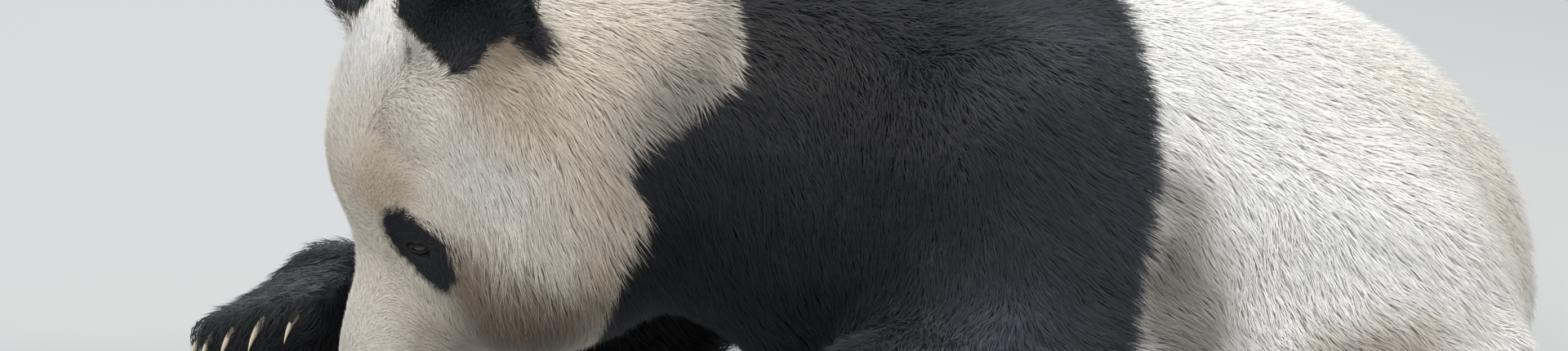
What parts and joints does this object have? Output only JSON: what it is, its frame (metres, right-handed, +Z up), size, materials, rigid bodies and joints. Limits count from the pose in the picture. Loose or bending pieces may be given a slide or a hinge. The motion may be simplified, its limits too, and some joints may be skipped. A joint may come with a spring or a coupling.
{
  "type": "giant panda",
  "caption": "Still, life-size giant panda lying on its belly with its haunches raised, its head lowered to its forelegs and its right forepaw reaching past its face.",
  "frame": {"origin": "on the floor, under the middle of the whole body", "axes": "+X towards the rump, +Y towards the right side, +Z up; the nose points to -X"},
  "size_m": [1.0702, 0.6614, 0.4218],
  "materials": {
    "white_coat": "long dense cream-white fur, warmer at the roots",
    "black_coat": "long dense black fur with a soft bluish sheen",
    "eye": "wet, glossy dark brown",
    "nose": "fine-grained damp black skin",
    "claw": "ivory horn, worn smooth"
  },
  "bodies": {
    "root": {"left_upper_arm": "black_coat", "left_forearm": "black_coat", "left_forepaw_claw_1": "claw", "left_forepaw_claw_2": "claw", "left_forepaw_claw_3": "claw", "left_forepaw_claw_4": "claw", "left_forepaw_claw_5": "claw", "left_forepaw": "black_coat", "right_upper_arm": "black_coat", "right_forearm": "black_coat", "right_forepaw_claw_1": "claw", "right_forepaw_claw_2": "claw", "right_forepaw_claw_3": "claw", "right_forepaw_claw_4": "claw", "right_forepaw_claw_5": "claw", "right_forepaw": "black_coat", "left_thigh": "white_coat", "left_shank": "black_coat", "left_hind_foot_claw_1": "claw", "left_hind_foot_claw_2": "claw", "left_hind_foot_claw_3": "claw", "left_hind_foot_claw_4": "claw", "left_hind_foot_claw_5": "claw", "left_hind_foot": "black_coat", "right_thigh": "white_coat", "right_shank": "black_coat", "right_hind_foot_claw_1": "claw", "right_hind_foot_claw_2": "claw", "right_hind_foot_claw_3": "claw", "right_hind_foot_claw_4": "claw", "right_hind_foot_claw_5": "claw", "right_hind_foot": "black_coat", "neck": "white_coat", "shoulders": "black_coat", "trunk": "white_coat", "rump": "white_coat", "tail": "white_coat", "ear_left": "black_coat", "eye_left": "eye", "ear_right": "black_coat", "eye_right": "eye", "nose": "nose", "head": "white_coat", "muzzle": "white_coat", "lower_jaw": "white_coat"}
  },
  "joints": []
}
